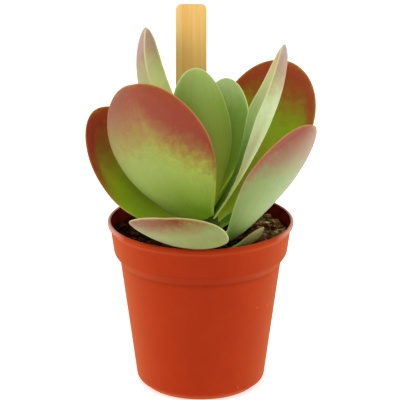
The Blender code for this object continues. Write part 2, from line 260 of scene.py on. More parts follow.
# %% [markdown]
# A program fitted the radii and heights of the pot's outside, and the camera's angle and scale, by
# least squares to the pot's edges in the photo, and they were then rounded. The wall, the floor and
# the foot are guessed from such pots.

# %% The pot's profile
POT_HEIGHT = 97.0
LIP_RADIUS, LIP_HEIGHT, LIP_FLARE, LIP_WALL = 52.5, 2.6, 1.7, 1.7
BAND_TOP_RADIUS, BAND_FOOT_RADIUS = 50.9, 49.0
BAND_FOOT_Z, SHOULDER_FOOT_Z = 78.9, 73.7
BODY_TOP_RADIUS, BODY_FOOT_RADIUS, BODY_FOOT_Z = 45.5, 36.2, 3.9
FOOT_RADIUS, FOOT_WIDTH = 31.5, 2.6
WALL = 1.2
FLOOR_UNDER_Z, FLOOR_TOP_Z = 2.2, 3.8
PAD_RADIUS = 9.0
POT_SIDES, POT_SMOOTH_DEGREES = 160, 38
LIP_UNDER_Z = POT_HEIGHT - LIP_HEIGHT
LIP_FOOT_Z = LIP_UNDER_Z - LIP_FLARE

pot = throw("nursery_pot", [
    (PAD_RADIUS - 0.6, 0.0, 0.3),                     # underneath: a pad and the foot ring
    (PAD_RADIUS, FLOOR_UNDER_Z, 0.0),
    (FOOT_RADIUS - FOOT_WIDTH - 0.8, FLOOR_UNDER_Z, 0.0),
    (FOOT_RADIUS - FOOT_WIDTH, 0.0, 0.3),
    (FOOT_RADIUS, 0.0, 0.6),
    (BODY_FOOT_RADIUS, BODY_FOOT_Z, 1.6),             # up the outside
    (BODY_TOP_RADIUS, SHOULDER_FOOT_Z, 0.9),
    (BAND_FOOT_RADIUS, BAND_FOOT_Z, 1.1),
    (BAND_TOP_RADIUS, LIP_FOOT_Z, 1.2),
    (LIP_RADIUS, LIP_UNDER_Z, 0.9),                   # round the lip
    (LIP_RADIUS, POT_HEIGHT, 0.9),
    (LIP_RADIUS - LIP_WALL, POT_HEIGHT, 0.5),
    (LIP_RADIUS - LIP_WALL, LIP_UNDER_Z, 0.8),
    (BAND_TOP_RADIUS - WALL, LIP_FOOT_Z, 0.8),        # and down the inside to the floor
    (BAND_FOOT_RADIUS - WALL, BAND_FOOT_Z, 1.0),
    (BODY_TOP_RADIUS - WALL, SHOULDER_FOOT_Z, 1.0),
    (BODY_FOOT_RADIUS - WALL, FLOOR_TOP_Z + 4.0, 1.5),
    (FOOT_RADIUS, FLOOR_TOP_Z, 1.5),
], POT_SIDES)
print("pot:", len(pot.data.vertices), "points")

# %% [markdown]
# Water leaves through eight round holes in the floor. One drill is made from a cylinder, copied
# round the ring, and the joined drills are taken out of the pot in a single Boolean.

# %% Drain holes
DRAIN_COUNT, DRAIN_RADIUS, DRAIN_RING = 8, 3.2, 19.0
DRILL_SIDES, DRILL_LENGTH = 32, 6.0

drills = []
for k in range(DRAIN_COUNT):
    turn = 2 * math.pi * (k + 0.5) / DRAIN_COUNT
    bpy.ops.mesh.primitive_cylinder_add(
        vertices=DRILL_SIDES, radius=DRAIN_RADIUS * MM, depth=DRILL_LENGTH * MM,
        location=(DRAIN_RING * MM * math.cos(turn), DRAIN_RING * MM * math.sin(turn),
                  DRILL_LENGTH / 2 * MM))
    drills.append(bpy.context.object)
pick(drills[0])
for drill in drills:
    drill.select_set(True)
bpy.ops.object.join()
drill = bpy.context.object
drilled = pot.modifiers.new("drain holes", "BOOLEAN")
drilled.operation, drilled.solver, drilled.object = "DIFFERENCE", "EXACT", drill
apply_modifiers(pot)
bpy.data.objects.remove(drill)
bpy.ops.object.shade_smooth_by_angle(angle=math.radians(POT_SMOOTH_DEGREES))
print("drain holes:", DRAIN_COUNT)

# %% [markdown]
# The plastic is terracotta-coloured polypropylene. Its moulded skin is satin, not glossy, with a
# very fine grain from the etched mould, and light sinks a little way into the thin wall, which
# makes the lip glow. Handling leaves paler scuffs, and potting leaves a few specks of dust. Seen at
# a slant the scuffed skin is paler and more orange, which the sheen stands for.

# %% Terracotta polypropylene
PLASTIC, PLASTIC_WORN, DUST = "#A02705", "#B0340E", "#E58A5C"
SCUFF_MM, DUST_SPACING_MM, DUST_SIZE_MM = 14.0, 13.0, 0.55

plastic, tree, shader = new_material(
    "satin moulded polypropylene", IOR=1.49, Specular_IOR_Level=0.06, Subsurface_Weight=0.05,
    Subsurface_Scale=1.5 * MM, Subsurface_Radius=(1.0, 0.25, 0.1), Sheen_Weight=0.7,
    Sheen_Roughness=0.5, Sheen_Tint=paint("#FF8C38"))
place = add(tree, "TexCoord").outputs["Object"]
scuffs = add(tree, "TexNoise", {
    "Vector": place, "Scale": 1 / (SCUFF_MM * MM), "Detail": 6.0, "Roughness": 0.65})
scuffed = add(tree, "MapRange", {
    "Value": scuffs, "From Min": 0.45, "From Max": 0.8, "To Max": 0.45})
worn = add(tree, "Mix", {0: scuffed, 6: paint(PLASTIC), 7: paint(PLASTIC_WORN)}, data_type="RGBA")
specks = add(tree, "TexVoronoi", {"Vector": place, "Scale": 1 / (DUST_SPACING_MM * MM)})
speck = add(tree, "MapRange", {
    "Value": specks, "From Min": DUST_SIZE_MM / DUST_SPACING_MM,
    "From Max": 0.6 * DUST_SIZE_MM / DUST_SPACING_MM, "To Max": 0.7})
dusty = add(tree, "Mix", {0: speck, 6: worn, 7: paint(DUST)}, data_type="RGBA")

# %% [markdown]
# Shade is painted into the colour over and under the upright band: on the shoulder slope below it,
# deepest in the crease at its foot, and on the flare under the lip. A highlight is painted on the
# lip at its left and right sides, where it is seen at a slant.

# %% Painted shade and painted lip highlight
PAINTED_POT_SHADES = [             # height on the pot, and what the painted shade leaves of the colour there
    (SHOULDER_FOOT_Z - 2.4, "#FFFFFF"), (SHOULDER_FOOT_Z - 0.2, "#DECAC8"),
    (SHOULDER_FOOT_Z + 0.8, "#E8ACA4"), (BAND_FOOT_Z - 0.5, "#E8ACA4"),
    (BAND_FOOT_Z + 1.2, "#FFFFFF"), (LIP_FOOT_Z - 1.0, "#FFFFFF"),
    (LIP_FOOT_Z + 0.6, "#F2F2F2"), (LIP_UNDER_Z, "#FFFFFF"),
]
# a painted highlight on the lip, and how strong it is
LIP_HIGHLIGHT, LIP_HIGHLIGHT_SHARE = "#CCA89E", 0.8
HIGHLIGHT_FROM, HIGHLIGHT_TO = 0.8, 0.96           # where the painted lip highlight starts and is whole, as a share of the lip's radius

parts = add(tree, "SeparateXYZ", {0: place})
height = add(tree, "Math", {0: parts.outputs["Z"], 1: POT_HEIGHT * MM}, operation="DIVIDE")
# painted shade, as a ramp over height: darker on the shoulder slope and its crease, a little under
# the lip's flare
painted_shade_ramp = add(tree, "ValToRGB", {"Fac": height}, stops=[
    (z / POT_HEIGHT, shade) for z, shade in PAINTED_POT_SHADES])
shade_painted_plastic = add(tree, "VectorMath", {0: dusty, 1: painted_shade_ramp}, operation="MULTIPLY")
# painted highlight: the lip is made pale and pinkish at its left and right sides
lip_high = add(tree, "MapRange", {
    "Value": parts.outputs["Z"], "From Min": (LIP_UNDER_Z - 1.0) * MM,
    "From Max": (POT_HEIGHT - 1.0) * MM, "To Max": LIP_HIGHLIGHT_SHARE})
sideways = add(tree, "Math", {0: parts.outputs["X"]}, operation="ABSOLUTE")
lip_side = add(tree, "MapRange", {
    "Value": sideways, "From Min": HIGHLIGHT_FROM * LIP_RADIUS * MM,
    "From Max": HIGHLIGHT_TO * LIP_RADIUS * MM})
lip_highlight_mask = add(tree, "Math", {0: lip_high, 1: lip_side}, operation="MULTIPLY")
lip_highlighted = add(tree, "Mix", {0: lip_highlight_mask, 6: shade_painted_plastic, 7: paint(LIP_HIGHLIGHT)}, data_type="RGBA")
feed(shader.inputs["Base Color"], lip_highlighted)
print("creases:", SHOULDER_FOOT_Z, "to", BAND_FOOT_Z, "mm and under the lip at", LIP_FOOT_Z, "mm")

# %% Satin skin and mould grain
MOULD_GRAIN_MM = 0.5          # etched grain is about 0.1 mm, drawn coarser so that it shows

satin = add(tree, "MapRange", {
    "Value": scuffs, "From Min": 0.3, "From Max": 0.8, "To Min": 0.36, "To Max": 0.55})
feed(shader.inputs["Roughness"], satin)
mould_grain = add(tree, "TexNoise", {"Vector": place, "Scale": 1 / (MOULD_GRAIN_MM * MM)})
grain_bump = add(tree, "Bump", {"Height": mould_grain, "Strength": 0.12, "Distance": 0.05 * MM})
feed(shader.inputs["Normal"], grain_bump)
hand_over(pot, plastic, "pot_plastic", "pot")

# %% [markdown]
# Inside, peat water has dried on the wall time after time, and the inside lies in shade, which is
# painted into the colour as well. That part is dull and dark maroon, up to the lip, so its faces
# get a material of their own.

# %% Peat-stained wall with painted shade
STAIN_SHADE_DARK, STAIN_THIN = "#440A05", "#641408"
STAIN_MM, STAIN_EDGE_MM = 9.0, 0.4       # size of the tide marks, and how far under the lip's top

stained_and_shaded, tree, shader = new_material(
    "peat-stained polypropylene", Roughness=0.75, IOR=1.49, Specular_IOR_Level=0.02)
place = add(tree, "TexCoord").outputs["Object"]
tide = add(tree, "TexNoise", {"Vector": place, "Scale": 1 / (STAIN_MM * MM), "Detail": 4.0})
# peat stain and painted shade: the inner wall is dark maroon right up to the lip
stain_and_shade = add(tree, "ValToRGB", {"Fac": tide}, stops=[(0.4, STAIN_SHADE_DARK), (0.65, STAIN_THIN)])
feed(shader.inputs["Base Color"], stain_and_shade)
pot.data.materials.append(stained_and_shaded)
inside = 0
for face in pot.data.polygons:
    outwards = Vector((face.center.x, face.center.y, 0.0))
    if (FLOOR_TOP_Z * MM < face.center.z < (POT_HEIGHT - STAIN_EDGE_MM) * MM
            and face.normal.dot(outwards) < 0):
        face.material_index = 1
        inside += 1
print("stained faces:", inside)

# %% [markdown]
# ## The potting mix
# Peat settles to just under the rim. The body of the mix follows the pot's inner wall. Its top is
# drawn as many narrow rings, which gives the relief enough points, and three displacements press
# clods, crumbs and grit into it, each at its own real size.

# %% The mix and its crumbled top
SOIL_Z, SOIL_RADIUS = 89.0, 48.9
SOIL_GAP = 0.6                # between the mix and the pot's wall
SOIL_CALM = 2.5               # the relief fades over this width towards the wall
SOIL_SIDES, SOIL_RINGS = 220, 62
SOIL_RELIEF = [               # texture kind, size of its forms and height of its relief
    ("CLOUDS", 9.0, 2.6),
    ("VORONOI", 3.2, -1.9),
    ("CLOUDS", 1.3, 0.9),
]
soil_rings = [(SOIL_RADIUS * (1 - k / SOIL_RINGS), SOIL_Z, 0.0) for k in range(SOIL_RINGS)]
soil = throw("potting_mix", [
    (FOOT_RADIUS - 4.0, FLOOR_TOP_Z + 0.3, 0.0),
    (BODY_FOOT_RADIUS - WALL - SOIL_GAP, FLOOR_TOP_Z + 5.0, 0.0),
    (BODY_TOP_RADIUS - WALL - SOIL_GAP, SHOULDER_FOOT_Z, 0.0),
    (BAND_FOOT_RADIUS - WALL - SOIL_GAP, BAND_FOOT_Z, 0.0),
    *soil_rings,
], SOIL_SIDES)
top = soil.vertex_groups.new(name="top")
for v in soil.data.vertices:
    reach = math.hypot(v.co.x, v.co.y) / MM
    if v.co.z > (SOIL_Z - 0.1) * MM:
        top.add([v.index], min(1.0, (SOIL_RADIUS - reach) / SOIL_CALM), "REPLACE")
for kind, size, height in SOIL_RELIEF:
    grain = bpy.data.textures.new(f"peat {kind.lower()} {size}", kind)
    grain.noise_scale = size * MM
    press = soil.modifiers.new(grain.name, "DISPLACE")
    press.texture, press.texture_coords = grain, "LOCAL"
    press.direction, press.vertex_group = "Z", "top"
    press.strength, press.mid_level = height * MM, 0.5
apply_modifiers(soil)
print("potting mix:", len(soil.data.vertices), "points")

# %% [markdown]
# Peat is nearly black when damp and red-brown where it has dried. The leaves shade the mix on its
# left and round the foot of the stem, and that shade is painted into the colour. One function
# darkens any colour there with painted shade, so that peat and bark are shaded together.

# %% Where shade is painted on the mix
STEM_X, STEM_Y = 5.0, -8.0
LEFT_SHADE_FROM, LEFT_SHADE_TO = 12.0, -22.0   # painted shade on the left, fading out to the right
SHADE_FROM, SHADE_TO = 38.0, 26.0        # and painted shade this near the stem
SOIL_SHADE = "#664238"           # what the painted shade leaves of a colour


def painted_soil_shade(tree, place, colour):
    """The colour darkened by painted shade towards the left side, and round the stem."""
    x = add(tree, "SeparateXYZ", {0: place}).outputs["X"]
    side = add(tree, "MapRange", {
        "Value": x, "From Min": LEFT_SHADE_FROM * MM, "From Max": LEFT_SHADE_TO * MM})
    away = add(tree, "VectorMath", {
        0: place, 1: (STEM_X * MM, STEM_Y * MM, SOIL_Z * MM)}, operation="DISTANCE")
    shaded = add(tree, "MapRange", {
        "Value": away, "From Min": SHADE_FROM * MM, "From Max": SHADE_TO * MM})
    shade_darkened = add(tree, "Math", {0: side, 1: shaded}, operation="MAXIMUM")
    # painted shade: the colour is darkened on the left of the mix and round the stem
    shade = add(tree, "Mix", {0: shade_darkened, 6: (1, 1, 1, 1), 7: paint(SOIL_SHADE)}, data_type="RGBA")
    return add(tree, "VectorMath", {0: colour, 1: shade}, operation="MULTIPLY")


# %% [markdown]
# Peat is crumbly and matt, so it hardly shines, and the high crumbs dry first. A green bloom of
# algae often grows on wet mix near the rim.

# %% Damp peat
PEAT_WET, PEAT_DRY, PEAT_TAN, ALGAE = "#200E06", "#8A5830", "#EAC08A", "#A2945A"
CRUMB_MM, FLECK_MM, ALGAE_PATCH_MM = 4.0, 1.1, 12.0

peat, tree, shader = new_material(
    "damp peat and bark", Roughness=0.92, IOR=1.45, Specular_IOR_Level=0.1)
place = add(tree, "TexCoord").outputs["Object"]
crumbs = add(tree, "TexNoise", {
    "Vector": place, "Scale": 1 / (CRUMB_MM * MM), "Detail": 5.0, "Roughness": 0.7})
flecks = add(tree, "TexVoronoi", {"Vector": place, "Scale": 1 / (FLECK_MM * MM)})
earth = add(tree, "ValToRGB", {"Fac": crumbs}, stops=[
    (0.42, PEAT_WET), (0.54, PEAT_DRY), (0.68, PEAT_TAN)])
patches = add(tree, "TexNoise", {
    "Vector": place, "Scale": 1 / (ALGAE_PATCH_MM * MM), "Detail": 3.0})
patch = add(tree, "MapRange", {
    "Value": patches, "From Min": 0.48, "From Max": 0.6, "To Max": 0.6})
green = add(tree, "Mix", {0: patch, 6: earth, 7: paint(ALGAE)}, data_type="RGBA")
# with painted shade where the leaves shade the mix
feed(shader.inputs["Base Color"], painted_soil_shade(tree, place, green))
crumb_bump = add(tree, "Bump", {"Height": flecks, "Strength": 0.6, "Distance": 0.5 * MM})
feed(shader.inputs["Normal"], crumb_bump)
hand_over(soil, peat, "potting_mix", "soil")

# %% [markdown]
# Loose crumbs lie on top: dark peat lumps and paler bark chips. Each kind starts as four small
# rough lumps, because a single one would be recognised among its copies.

# %% A rough lump
LUMP_DEPTH, LUMP_FORMS = 0.55, 1.4       # how deep its dents are, and how many


def rough_lump(name, squash, seed):
    """A small ball with its points pushed in and out, flattened by squash."""
    bpy.ops.object.select_all(action="DESELECT")
    bpy.ops.mesh.primitive_ico_sphere_add(subdivisions=2, radius=1.0)
    lump = bpy.context.object
    lump.name = name
    for v in lump.data.vertices:
        dent = noise.noise(v.co * LUMP_FORMS + Vector((seed, 0.0, 0.0)))
        v.co *= 1.0 + LUMP_DEPTH * dent
    bpy.ops.object.mode_set(mode="EDIT")
    bpy.ops.mesh.select_all(action="SELECT")
    bpy.ops.transform.resize(value=(1.0, squash[0], squash[1]))
    bpy.ops.object.mode_set(mode="OBJECT")
    return lump


# %% [markdown]
# The lumps are strewn with a seeded random draw, so that each run gives the same heap. A ray
# dropped on the mix tells how high each crumb rests, and it then sinks in a little.

# %% Strew copies of a lump on the mix
STREW_RADIUS, DROP_Z = SOIL_RADIUS - 1.6, 120.0
STREW_TURN, STREW_TILT = 6.28, 0.6       # radians, about Z and about X

ground = BVHTree.FromObject(soil, bpy.context.evaluated_depsgraph_get())


def strew(name, lumps, count, sizes, draw, sink):
    """Copies of the lumps in one piece. Each sinks in by sink, a share of its size."""
    heap = bmesh.new()
    for k in range(count):
        r, turn = STREW_RADIUS * math.sqrt(draw.random()), draw.uniform(0, 2 * math.pi)
        x, y = r * math.cos(turn), r * math.sin(turn)
        size = draw.uniform(*sizes)
        hit = ground.ray_cast(Vector((x, y, DROP_Z)) * MM, Vector((0, 0, -1)))[0]
        turned = Matrix.Rotation(draw.uniform(0, STREW_TURN), 4, "Z") @ Matrix.Rotation(
            draw.uniform(-STREW_TILT, STREW_TILT), 4, "X")
        spot = Matrix.Translation(hit + Vector((0, 0, size * MM * (0.5 - sink))))
        before = len(heap.verts)
        heap.from_mesh(lumps[k % len(lumps)].data)
        heap.verts.ensure_lookup_table()
        new = heap.verts[before:]
        bmesh.ops.transform(heap, matrix=spot @ turned @ Matrix.Scale(size * MM / 2, 4), verts=new)
    mesh = bpy.data.meshes.new(name)
    heap.to_mesh(mesh)
    heap.free()
    obj = bpy.data.objects.new(name, mesh)
    bpy.context.scene.collection.objects.link(obj)
    return obj


# %% Peat crumbs and bark chips
STREW_SEED, LUMP_KINDS = 7, 4
CRUMB_COUNT, CRUMB_SIZES, CRUMB_SQUASH, CRUMB_SINK = 900, (0.8, 3.0), (0.8, 0.7), 0.25
CHIP_COUNT, CHIP_SIZES, CHIP_SQUASH, CHIP_SINK = 150, (1.2, 4.8), (0.6, 0.3), 0.1

draw = random.Random(STREW_SEED)
lumps = [rough_lump(f"lump{k}", CRUMB_SQUASH, 3.1 * k) for k in range(LUMP_KINDS)]
chips = [rough_lump(f"chip{k}", CHIP_SQUASH, 5.7 * k + 1) for k in range(LUMP_KINDS)]
peat_crumbs = strew("peat_crumbs", lumps, CRUMB_COUNT, CRUMB_SIZES, draw, CRUMB_SINK)
bark_chips = strew("bark_chips", chips, CHIP_COUNT, CHIP_SIZES, draw, CHIP_SINK)
for lump in lumps + chips:
    bpy.data.objects.remove(lump)
print("strewn:", CRUMB_COUNT, "crumbs and", CHIP_COUNT, "chips")

# %% [markdown]
# Bark chips are dry, rough and tan, each a little different, so the noise that colours them is as
# large as a chip.

# %% Dry bark
CHIP_MM = 4.0

bark, tree, shader = new_material(
    "composted pine bark", Roughness=0.85, IOR=1.45, Specular_IOR_Level=0.15)
place = add(tree, "TexCoord").outputs["Object"]
chip_tone = add(tree, "TexNoise", {"Vector": place, "Scale": 1 / (CHIP_MM * MM), "Detail": 3.0})
bark_colour = add(tree, "ValToRGB", {"Fac": chip_tone}, stops=[
    (0.38, "#8A5A32"), (0.55, "#C8966A"), (0.7, "#F0D2AA")])
# with painted shade where the leaves shade the mix
feed(shader.inputs["Base Color"], painted_soil_shade(tree, place, bark_colour))
hand_over(peat_crumbs, peat, "potting_mix")
hand_over(bark_chips, bark, "potting_mix")

# %% [markdown]
# ## The stem
# The stub of stem carries the leaves in crossed pairs. Fallen leaves leave rings, so the profile
# swells a little at each.

# %% Stem with its leaf scars
STEM_RINGS, STEM_SIDES = 9, 48
STEM_FOOT_Z, STEM_NECK_Z, STEM_TOP_Z = 62.0, 90.0, 111.0
STEM_RADIUS, STEM_TOP_RADIUS = 7.0, 2.2
SCAR_SWELL, SCAR_RISE = 0.35, 0.8        # how far a ring stands out, and how high it is
TOP_CHAMFER, TOP_CHAMFER_Z = 1.0, 0.6

stem_profile = [(STEM_RADIUS, STEM_FOOT_Z, 0.0)]
for k in range(STEM_RINGS):
    u = k / STEM_RINGS
    radius = STEM_RADIUS + (STEM_TOP_RADIUS - STEM_RADIUS) * u
    z = STEM_NECK_Z + (STEM_TOP_Z - STEM_NECK_Z) * u
    stem_profile += [(radius, z, 0.0), (radius + SCAR_SWELL, z + SCAR_RISE, 0.0)]
stem_profile += [(STEM_TOP_RADIUS, STEM_TOP_Z - TOP_CHAMFER_Z, 0.0),
                 (STEM_TOP_RADIUS - TOP_CHAMFER, STEM_TOP_Z, 0.0)]
stem = throw("stem_stub", stem_profile, STEM_SIDES, centre=(STEM_X, STEM_Y))
print("stem:", len(stem.data.vertices), "points,", STEM_RINGS, "leaf scars")

# %% [markdown]
# The stem's skin is young and living: green, a little corky in patches, and barely shiny.

# %% Green stem skin
STEM_PATCH_MM = 3.0

stem_skin, tree, shader = new_material(
    "green stem skin", Roughness=0.6, IOR=1.45, Specular_IOR_Level=0.15)
place = add(tree, "TexCoord").outputs["Object"]
stem_tone = add(tree, "TexNoise", {
    "Vector": place, "Scale": 1 / (STEM_PATCH_MM * MM), "Detail": 4.0})
stem_colour = add(tree, "ValToRGB", {"Fac": stem_tone}, stops=[
    (0.35, "#2E4608"), (0.6, "#486012"), (0.75, "#6A6A30")])
feed(shader.inputs["Base Color"], stem_colour)
hand_over(stem, stem_skin, "stem_skin", "stem")

# %% [markdown]
# ## The leaves
# A paddle leaf is thick flesh under a waxy skin: a narrow wedge at the stem, a broad round end, an
# even thickness that rolls over at a blunt rim, and a gentle cup. All eleven start as one ball. For
# each leaf the ball is copied and drawn out along a curved midrib. No hand tool bends that exactly,
# so each point is placed by rule: s runs from root to tip, across from rim to rim, and rise from
# the outer face to the inner one.

# %% One ball for all the leaves
BALL_SECTORS, BALL_RINGS = 88, 96

bpy.ops.object.select_all(action="DESELECT")
bpy.ops.mesh.primitive_uv_sphere_add(segments=BALL_SECTORS, ring_count=BALL_RINGS, radius=1.0)
ball = bpy.context.object
ball.name = "leaf_ball"
print("ball:", len(ball.data.vertices), "points")

# %% How wide and how thick a leaf is
LEAF_THICKNESS, LEAF_ROOT_THICKNESS, LEAF_TIP_THICKNESS = 4.2, 3.2, 2.6
ROOT_SHARE = 0.25             # of the length, over which the root thickens into the blade
TIP_BLUNTNESS = 14            # the higher, the later the flesh thins towards the tip


def smoothstep(u):
    """From 0 to 1, starting and ending gently."""
    u = min(max(u, 0.0), 1.0)
    return u * u * (3 - 2 * u)


def half_width(leaf, s):
    if s < leaf["widest"]:
        flare = smoothstep(s / leaf["widest"]) ** leaf["wedge"]
        share = leaf["neck"] + (1 - leaf["neck"]) * flare
    else:
        share = math.sqrt(max(0.0, 1 - ((s - leaf["widest"]) / (1 - leaf["widest"]))
                              ** leaf["full"]))
    return leaf["width"] / 2 * share


def half_thickness(leaf, s):
    body = LEAF_THICKNESS + (LEAF_TIP_THICKNESS - LEAF_THICKNESS) * s
    root = LEAF_ROOT_THICKNESS + (body - LEAF_ROOT_THICKNESS) * smoothstep(s / ROOT_SHARE)
    return leaf["plump"] * root / 2 * math.sqrt(max(0.0, 1 - s ** TIP_BLUNTNESS))


# %% The rule that draws a leaf
CUP_LEAST, CUP_START = 0.3, 0.3          # the cup starts as this share of itself, and is whole here
TIP_CUP_DELAY = 4             # the higher, the nearer to the tip the cup changes


def leaf_point(leaf, s, across, rise):
    """The midrib gives the point and its frame, and the cup bends the blade round the frame."""
    start, bend, tip = leaf["start"], leaf["bend"], leaf["tip"]
    point = start * (1 - s) ** 2 + bend * (2 * s * (1 - s)) + tip * s ** 2
    along = ((bend - start) * (1 - s) + (tip - bend) * s).normalized()
    turn = math.radians(leaf["faces"][0] + (leaf["faces"][1] - leaf["faces"][0]) * s)
    lift = math.radians(leaf["lift"][0] + (leaf["lift"][1] - leaf["lift"][0]) * s)
    normal = Vector((
        math.cos(turn) * math.cos(lift), math.sin(turn) * math.cos(lift), math.sin(lift)))
    normal = (normal - along * normal.dot(along)).normalized()
    side = along.cross(normal)
    cup = math.radians(leaf["cup"]) * min(max(s / CUP_START, CUP_LEAST), 1.0)
    cup *= 1 - (1 - leaf["tip_cup"]) * s ** TIP_CUP_DELAY
    radius = half_width(leaf, s) / cup
    out = side * math.sin(cup * across) - normal * math.cos(cup * across)
    return point + normal * radius + out * (radius - rise * half_thickness(leaf, s))


# %% [markdown]
# The table holds each leaf's shape, from the outermost pair inwards. A row gives where the leaf
# leaves the stem, the point that its midrib bends towards, its tip, the compass and upward
# direction that its inner face looks in, its width, and how much it is cupped. The rest is the same
# for most leaves: how far from the stem's axis it starts, where along it is widest, how full its
# end is, how its lower part widens from the neck, how plump it is, and how much of its cup is left
# at the tip.
#
# These numbers were not chosen by hand. A program fitted them by least squares to the leaves'
# outlines, traced in the photo, and to the room between the leaves. They were then rounded, and
# some were changed a little. The hidden low_back had no outline to fit.

# %% The eleven leaves
PLAIN_LEAF = dict(
    offset=1.5, widest=0.62, full=2.0, wedge=0.8, neck=0.2, lift=(0, 0), plump=1.0, tip_cup=1.0)
LEAVES = {
    "low_front": dict(
        azimuth=-138, root_z=92.9, bend=(-6.6, -54.7, 87.8), tip=(-19.6, -69.8, 121.5),
        faces=(70.7, 89.5), lift=(97.7, 72.2), width=58.4, cup=24.6, widest=0.777, full=2.23,
        wedge=0.752, neck=0.16, tip_cup=0.5),
    "low_back": dict(
        azimuth=62, root_z=93.0, bend=(22, 20, 97), tip=(21, 39, 121),
        faces=(248, 233), lift=(60, 30), width=31, cup=23),
    "low_right": dict(
        azimuth=-71, offset=25, root_z=88.7, bend=(37.4, -30.2, 97), tip=(32, -16, 95.6),
        faces=(150, 123), lift=(35.5, 39.5), width=12, cup=46, widest=0.49, full=1.78,
        wedge=1.02, neck=0.36, plump=0.6),
    "left_back": dict(
        azimuth=148, root_z=97.5, bend=(-35, 3, 99.5), tip=(-58, 15, 158),
        faces=(-28, -52), width=52.5, cup=27, widest=0.61, full=2.3, wedge=0.75, neck=0.15),
    "right_front": dict(
        azimuth=-17, root_z=91.4, bend=(20.2, -34.2, 83), tip=(61.5, -40.3, 164.7),
        faces=(164.7, 123.4), lift=(10.3, -6), width=39.3, cup=49, widest=0.735, full=1.49,
        wedge=1.45, neck=0.14),
    "left_front": dict(
        azimuth=-127, root_z=100.6, bend=(-17.5, -30, 117.8), tip=(-37.5, -32, 185.5),
        faces=(68, 70), width=61, cup=29, widest=0.66, wedge=0.6, neck=0.16),
    "right_back": dict(
        azimuth=47, root_z=99.5, bend=(29, 19, 121.4), tip=(50.7, 32, 180.4),
        faces=(233, 261), width=54.5, cup=21, widest=0.675, full=2.3),
    "left_upright": dict(
        azimuth=169, root_z=103.8, bend=(-44.3, -1.6, 164.5), tip=(-30.6, 14.8, 205.2),
        faces=(2, -28.5), lift=(-1.8, 0.5), width=44, cup=71, widest=0.544, full=1.05, neck=0.16,
        plump=0.85),
    "right_upright": dict(
        azimuth=6, root_z=100.6, bend=(50.3, -17.9, 171.3), tip=(46.6, 0, 199.3),
        faces=(188, 193.5), lift=(12.6, 1.6), width=31.5, cup=94, widest=0.51, full=1.05,
        wedge=1.8, neck=0.25, plump=0.85),
    "centre_front": dict(
        azimuth=-84, root_z=108.6, bend=(3, -16.5, 137), tip=(-3.8, -12.5, 189.3),
        faces=(86, 103), width=34, cup=23, full=2.1),
    "centre_back": dict(
        azimuth=92, root_z=108.6, bend=(12, 5, 136.6), tip=(14.8, 9.5, 177.4),
        faces=(-88, -87), width=31, cup=25),
}
print("widest leaf:", max(leaf["width"] for leaf in LEAVES.values()), "mm")

# %% [markdown]
# Each point also remembers where on the blade it lies. The attribute "blade" holds across, along
# and face, and "rim_mm" the distance to the rim, so that the colours can follow the leaf's growth.

# %% Where a leaf's rim runs
RIM_POINTS = 240              # closer together towards the tip, where the rim turns


def rim_finder(leaf):
    """A tree of points on the rim that finds the nearest one."""
    shares = [1 - (1 - k / RIM_POINTS) ** 2 for k in range(RIM_POINTS + 1)]
    rim = [leaf_point(leaf, s, side, 0.0) for s in shares for side in (-1, 1)]
    finder = kdtree.KDTree(len(rim))
    for i, point in enumerate(rim):
        finder.insert(point, i)
    finder.balance()
    return finder


# %% Draw a leaf out of the ball
EDGE_FULLNESS = 0.75          # under 1, the rim is blunter than a ball's
WAVE_MM, WAVE_SIZE_MM = 0.35, 16.0       # living blades are never quite even
WAVE_START = 0.4              # share of the length over which the waves set in
BLADE_MM = 80.0               # a middling blade's length, for the waves' size along it
POLE = 1e-4                   # nearer to the ball's axis than this is one of its poles
THINNEST_MM = 1e-6            # thinner flesh than this has no way out to be waved along


def draw_leaf(name, shape, seed):
    leaf = {**PLAIN_LEAF, **shape}
    turn = math.radians(leaf["azimuth"])
    leaf["start"] = Vector((STEM_X + leaf["offset"] * math.cos(turn),
                            STEM_Y + leaf["offset"] * math.sin(turn), leaf["root_z"]))
    leaf["bend"], leaf["tip"] = Vector(leaf["bend"]), Vector(leaf["tip"])
    rim = rim_finder(leaf)

    obj = ball.copy()
    obj.data = ball.data.copy()
    obj.name = obj.data.name = "paddle_" + name
    bpy.context.scene.collection.objects.link(obj)
    obj.data.attributes.new("blade", "FLOAT_VECTOR", "POINT")
    obj.data.attributes.new("rim_mm", "FLOAT", "POINT")
    blade, rim_mm = obj.data.attributes["blade"], obj.data.attributes["rim_mm"]
    for v in obj.data.vertices:
        s = min(max((1 + v.co.z) / 2, 0.0), 1.0)
        ring = math.hypot(v.co.x, v.co.y)
        across, rise = (v.co.x / ring, v.co.y / ring) if ring > POLE else (0.0, 0.0)
        fullness = math.copysign(abs(rise) ** EDGE_FULLNESS, rise)
        wave = noise.noise(
            Vector((across * leaf["width"] / 2, s * BLADE_MM, seed)) / WAVE_SIZE_MM)
        point = leaf_point(leaf, s, across, fullness)
        flat = leaf_point(leaf, s, across, 0.0)
        out = leaf_point(leaf, s, across, 1.0) - flat
        if out.length > THINNEST_MM:
            point += out.normalized() * (WAVE_MM * wave * smoothstep(s / WAVE_START))
        blade.data[v.index].vector = (across, s, 1.0 if rise > 0 else 0.0)
        rim_mm.data[v.index].value = rim.find(flat)[2]
        v.co = point * MM
    pick(obj)
    bpy.ops.object.mode_set(mode="EDIT")
    bpy.ops.mesh.select_all(action="SELECT")
    bpy.ops.mesh.normals_make_consistent(inside=False)
    bpy.ops.object.mode_set(mode="OBJECT")
    bpy.ops.object.shade_smooth()
    return obj


# %% All eleven leaves
leaves = {
    name: draw_leaf(name, shape, 10.0 * i)
    for i, (name, shape) in enumerate(LEAVES.items())}
bpy.data.objects.remove(ball)
print("leaves:", len(leaves))

